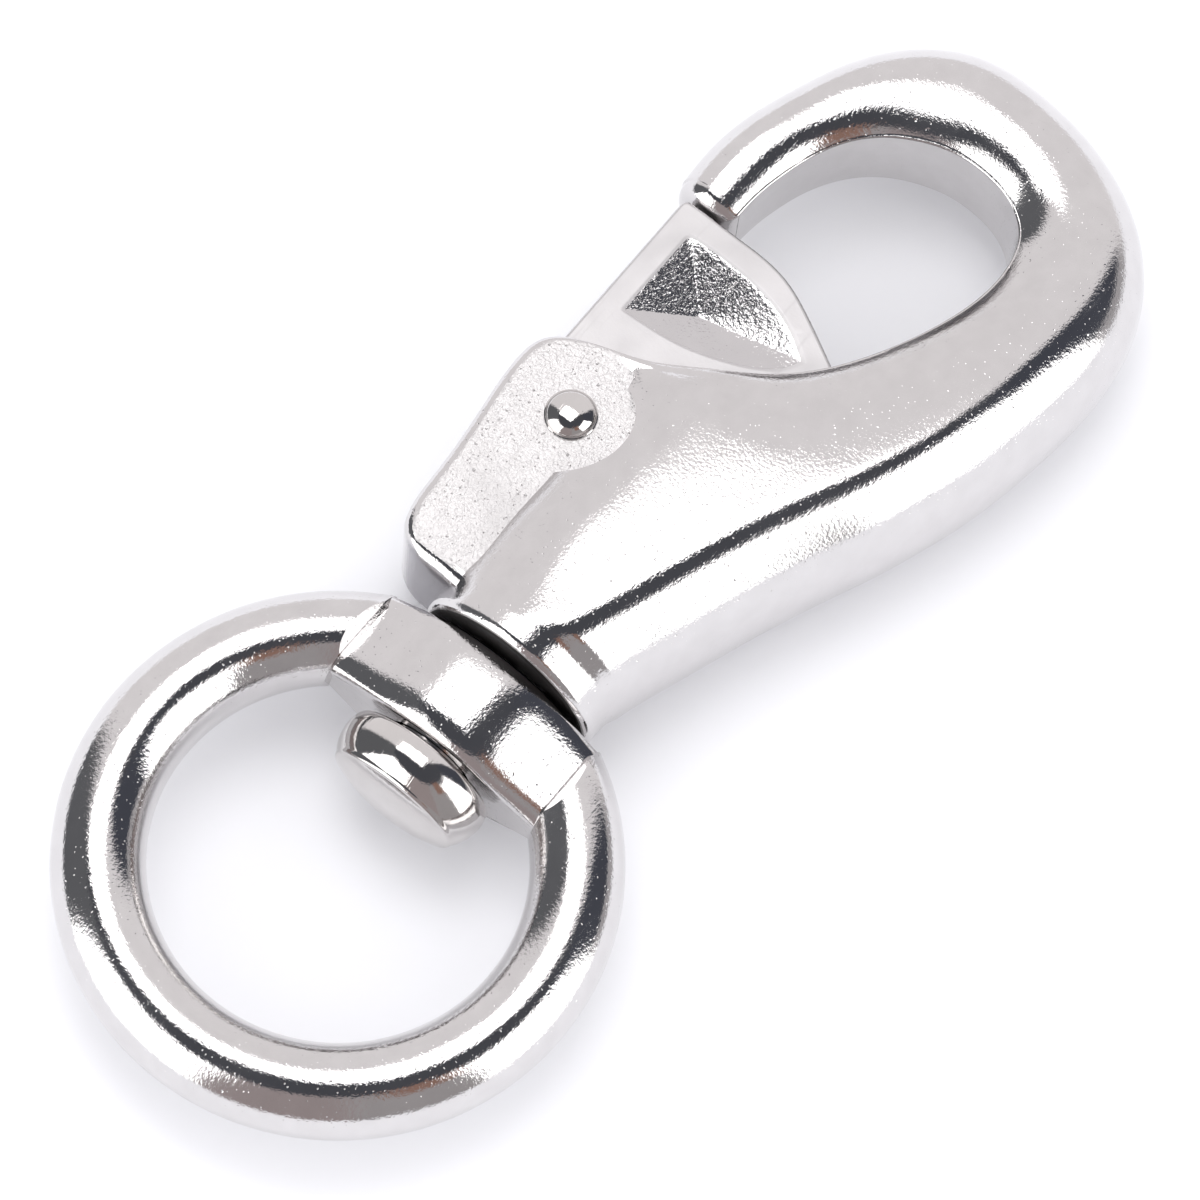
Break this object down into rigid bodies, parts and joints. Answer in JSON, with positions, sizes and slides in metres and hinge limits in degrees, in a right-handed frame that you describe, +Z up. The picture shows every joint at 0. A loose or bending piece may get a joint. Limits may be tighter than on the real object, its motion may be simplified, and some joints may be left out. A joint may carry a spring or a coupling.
{
  "type": "swivel hook",
  "caption": "Cast steel snap hook with a swivel ring eye, a flat-cheeked body, an open bow and a sprung pivoting gate that closes it.",
  "frame": {"origin": "bottom centre of the whole hook, lying flat with its gate shut", "axes": "+X along the swivel axis from the ring eye to the bow, +Y towards the gate side, +Z up, out of the flat cheek"},
  "size_m": [0.094, 0.0382, 0.0142],
  "materials": {
    "cast_steel": "investment-cast stainless, tumbled and polished, with a fine grain left in the shine",
    "polished_steel": "smooth polished stainless",
    "gate_steel": "satin cast stainless, rough as cast inside the thumb pocket",
    "spring_steel": "plain drawn stainless wire"
  },
  "bodies": {
    "hook": {"hook_body": "cast_steel", "swivel_pin": "polished_steel", "gate_pin": "polished_steel", "gate_spring": "spring_steel"},
    "eye": {"swivel_eye": "cast_steel"},
    "gate": {"gate": "gate_steel"}
  },
  "joints": [
    {"name": "swivel", "type": "hinge", "parent": "hook", "child": "eye", "pos_m": [-0.01493, 0, 0.0071], "axis": [1, 0, 0], "continuous": true},
    {"name": "gate_pivot", "type": "hinge", "parent": "hook", "child": "gate", "pos_m": [0.00557, 0.0072, 0.0071], "axis": [0, 0, 1], "range_deg": [-35, 0], "stiffness_Nm_per_rad": 0.15, "springref_deg": 34.38, "deforming": ["gate_spring"]}
  ]
}
